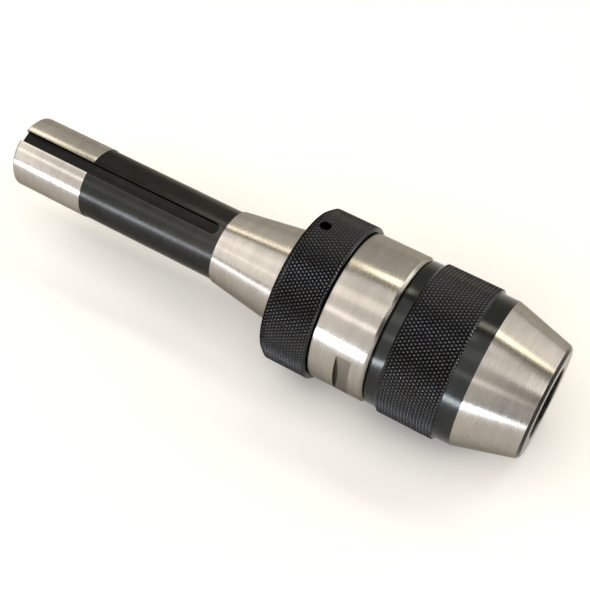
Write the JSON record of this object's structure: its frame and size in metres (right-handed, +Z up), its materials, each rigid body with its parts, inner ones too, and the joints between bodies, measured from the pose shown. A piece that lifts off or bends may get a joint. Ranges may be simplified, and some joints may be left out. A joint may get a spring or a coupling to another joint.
{
  "type": "drill chuck",
  "caption": "Keyless drill chuck in one with an R8 shank: knurled rear collar, ground body sleeve, knurled hood with a ground cone nose, and jaws moved by an inner screw.",
  "frame": {"origin": "on the chuck's axis at the R8 gauge plane, where the taper is largest", "axes": "+X along the axis towards the nose, the shank's rear end at -X; +Z up as the chuck lies; the keyway is on the upper side"},
  "size_m": [0.1868, 0.0514, 0.0514],
  "materials": {
    "ground_steel": "cylindrically ground, fine circumferential grain",
    "black_oxide": "black oxide, satin, diamond knurl on the grips",
    "hardened_steel": "hardened and ground",
    "bearing_steel": "polished balls and races",
    "cage_brass": "machined brass"
  },
  "bodies": {
    "shank": {"r8_shank": "ground_steel", "rear_collar": "black_oxide", "hub_race": "bearing_steel"},
    "cage": {"ball_cage": "cage_brass", "thrust_balls": "bearing_steel"},
    "sleeve": {"sleeve_race": "bearing_steel", "body_sleeve": "ground_steel", "hood": "black_oxide", "jaw_guide": "hardened_steel", "guide_pins": "hardened_steel"},
    "screw": {"draw_screw": "hardened_steel"},
    "jaw_a": {"jaw_1": "hardened_steel"},
    "jaw_b": {"jaw_2": "hardened_steel"},
    "jaw_c": {"jaw_3": "hardened_steel"}
  },
  "joints": [
    {"name": "sleeve_turn", "type": "hinge", "parent": "shank", "child": "sleeve", "pos_m": [0.03, 0, 0], "axis": [-1, 0, 0], "range_deg": [0, 2520]},
    {"name": "cage_roll", "type": "hinge", "parent": "shank", "child": "cage", "pos_m": [0.0243, 0, 0], "axis": [-1, 0, 0], "range_deg": [0, 1260]},
    {"name": "screw_feed", "type": "slide", "parent": "sleeve", "child": "screw", "axis": [1, 0, 0], "range_m": [0, 0.021]},
    {"name": "jaw_a_slide", "type": "slide", "parent": "sleeve", "child": "jaw_a", "axis": [0.9613, 0, -0.2756], "range_m": [0, 0.02185]},
    {"name": "jaw_b_slide", "type": "slide", "parent": "sleeve", "child": "jaw_b", "axis": [0.9613, 0.2387, 0.1378], "range_m": [0, 0.02185]},
    {"name": "jaw_c_slide", "type": "slide", "parent": "sleeve", "child": "jaw_c", "axis": [0.9613, -0.2387, 0.1378], "range_m": [0, 0.02185]}
  ],
  "couplings": [
    {"joint": "cage_roll", "follows": "sleeve_turn", "ratio": 0.5},
    {"joint": "screw_feed", "follows": "sleeve_turn", "m_per_rad": 0.00047746},
    {"joint": "jaw_a_slide", "follows": "sleeve_turn", "m_per_rad": 0.0004967},
    {"joint": "jaw_b_slide", "follows": "sleeve_turn", "m_per_rad": 0.0004967},
    {"joint": "jaw_c_slide", "follows": "sleeve_turn", "m_per_rad": 0.0004967}
  ]
}
